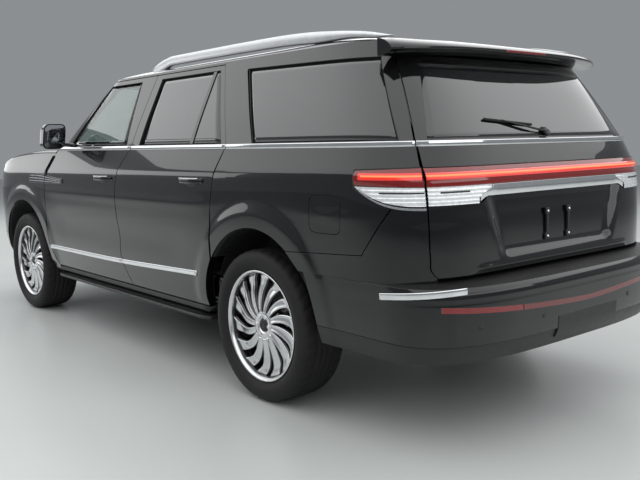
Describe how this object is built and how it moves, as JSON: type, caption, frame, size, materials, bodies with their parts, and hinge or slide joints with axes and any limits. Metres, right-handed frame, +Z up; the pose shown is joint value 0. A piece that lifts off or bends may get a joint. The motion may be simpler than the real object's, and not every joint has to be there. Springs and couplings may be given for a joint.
{
  "type": "full-size suv",
  "caption": "Long four-door sport utility body on a ladder frame, with opening doors, bonnet, liftgate and fuel flap, steered front wheels and a full cabin.",
  "frame": {"origin": "on the ground on the centre line, midway along the length", "axes": "+X to the vehicle's left, front faces -Y, +Z up"},
  "size_m": [2.3928, 5.6335, 1.933],
  "materials": {
    "gloss_black_paint": "gloss",
    "black_trim": "gloss",
    "textured_black": "textured",
    "satin_silver": "satin",
    "privacy_glass": "tinted",
    "clear_glass": "clear",
    "lamp_red": "clear lens",
    "lamp_clear": "clear lens",
    "chassis_black": "satin",
    "bare_steel": "worn",
    "cast_alloy": "cast",
    "machined_alloy": "machined",
    "tyre_rubber": "matt",
    "seat_leather": "grained",
    "cabin_plastic": "soft touch",
    "carpet": "tufted",
    "chrome": "bright"
  },
  "bodies": {
    "root": {"body_side_left": "gloss_black_paint", "body_side_right": "gloss_black_paint", "tail_lamps": "lamp_red", "windscreen": "clear_glass", "quarter_windows": "privacy_glass", "roof_panel": "gloss_black_paint", "roof_rails": "satin_silver", "front_fenders": "gloss_black_paint", "front_bumper": "gloss_black_paint", "headlamps": "lamp_clear", "grille": "black_trim", "rear_bumper": "gloss_black_paint", "bulkhead": "chassis_black", "floor_pan": "carpet", "wheel_liners": "textured_black", "frame": "chassis_black", "engine_block": "cast_alloy", "radiator": "cast_alloy", "driveline": "bare_steel", "fuel_tank": "textured_black", "spare_wheel": "tyre_rubber", "exhaust": "bare_steel", "running_boards": "textured_black", "front_suspension": "chassis_black", "rear_suspension": "chassis_black", "dashboard": "cabin_plastic", "front_seats": "seat_leather", "rear_seats": "seat_leather"},
    "front_door_left_panel": {"front_door_left": "gloss_black_paint", "front_door_window_left": "clear_glass", "mirror_left": "gloss_black_paint"},
    "rear_door_left_panel": {"rear_door_left": "gloss_black_paint", "rear_door_window_left": "privacy_glass"},
    "steering_knuckle_left": {"knuckle_left": "cast_alloy"},
    "wheel_front_left": {"tyre_front_left": "tyre_rubber", "rim_front_left": "machined_alloy"},
    "wheel_rear_left": {"tyre_rear_left": "tyre_rubber", "rim_rear_left": "machined_alloy"},
    "front_door_right_panel": {"front_door_right": "gloss_black_paint", "front_door_window_right": "clear_glass", "mirror_right": "gloss_black_paint"},
    "rear_door_right_panel": {"rear_door_right": "gloss_black_paint", "rear_door_window_right": "privacy_glass"},
    "steering_knuckle_right": {"knuckle_right": "cast_alloy"},
    "wheel_front_right": {"tyre_front_right": "tyre_rubber", "rim_front_right": "machined_alloy"},
    "wheel_rear_right": {"tyre_rear_right": "tyre_rubber", "rim_rear_right": "machined_alloy"},
    "liftgate_panel": {"liftgate": "gloss_black_paint", "liftgate_lamp": "lamp_red", "liftgate_window": "privacy_glass", "plate_brackets": "textured_black"},
    "fuel_flap": {"fuel_door": "gloss_black_paint"},
    "bonnet_panel": {"bonnet": "gloss_black_paint"},
    "steering_wheel_rim": {"steering_wheel": "cabin_plastic"}
  },
  "joints": [
    {"name": "front_door_left_hinge", "type": "hinge", "parent": "root", "child": "front_door_left_panel", "pos_m": [1.008, -1.3635, 1], "axis": [0, 0, -1], "range_deg": [0, 65]},
    {"name": "rear_door_left_hinge", "type": "hinge", "parent": "root", "child": "rear_door_left_panel", "pos_m": [1.008, -0.0985, 1], "axis": [0, 0, -1], "range_deg": [0, 68]},
    {"name": "steering_left", "type": "hinge", "parent": "root", "child": "steering_knuckle_left", "pos_m": [0.7805, -1.853, 0.407], "axis": [0, 0, 1], "range_deg": [-35, 35]},
    {"name": "wheel_front_left_spin", "type": "hinge", "parent": "steering_knuckle_left", "child": "wheel_front_left", "pos_m": [0.8625, -1.853, 0.407], "axis": [1, 0, 0], "continuous": true},
    {"name": "wheel_rear_left_spin", "type": "hinge", "parent": "root", "child": "wheel_rear_left", "pos_m": [0.8585, 1.49, 0.407], "axis": [1, 0, 0], "continuous": true},
    {"name": "front_door_right_hinge", "type": "hinge", "parent": "root", "child": "front_door_right_panel", "pos_m": [-1.008, -1.3635, 1], "axis": [0, 0, 1], "range_deg": [0, 65]},
    {"name": "rear_door_right_hinge", "type": "hinge", "parent": "root", "child": "rear_door_right_panel", "pos_m": [-1.008, -0.0985, 1], "axis": [0, 0, 1], "range_deg": [0, 68]},
    {"name": "steering_right", "type": "hinge", "parent": "root", "child": "steering_knuckle_right", "pos_m": [-0.7805, -1.853, 0.407], "axis": [0, 0, 1], "range_deg": [-35, 35]},
    {"name": "wheel_front_right_spin", "type": "hinge", "parent": "steering_knuckle_right", "child": "wheel_front_right", "pos_m": [-0.8625, -1.853, 0.407], "axis": [1, 0, 0], "continuous": true},
    {"name": "wheel_rear_right_spin", "type": "hinge", "parent": "root", "child": "wheel_rear_right", "pos_m": [-0.8585, 1.49, 0.407], "axis": [1, 0, 0], "continuous": true},
    {"name": "bonnet_hinge", "type": "hinge", "parent": "root", "child": "bonnet_panel", "pos_m": [0, -1.293, 1.36], "axis": [-1, 0, 0], "range_deg": [0, 52]},
    {"name": "liftgate_hinge", "type": "hinge", "parent": "root", "child": "liftgate_panel", "pos_m": [0, 2.238, 1.825], "axis": [1, 0, 0], "range_deg": [0, 85]},
    {"name": "fuel_flap_hinge", "type": "hinge", "parent": "root", "child": "fuel_flap", "pos_m": [1.008, 1.96, 1.032], "axis": [0, 0, -1], "range_deg": [0, 90]},
    {"name": "steering_wheel_turn", "type": "hinge", "parent": "root", "child": "steering_wheel_rim", "pos_m": [0.405, -0.643, 1.115], "axis": [0, 0.9063, 0.4226], "range_deg": [-562, 562]}
  ],
  "couplings": [
    {"joint": "steering_right", "follows": "steering_left", "ratio": 1},
    {"joint": "steering_wheel_turn", "follows": "steering_left", "ratio": 16}
  ]
}
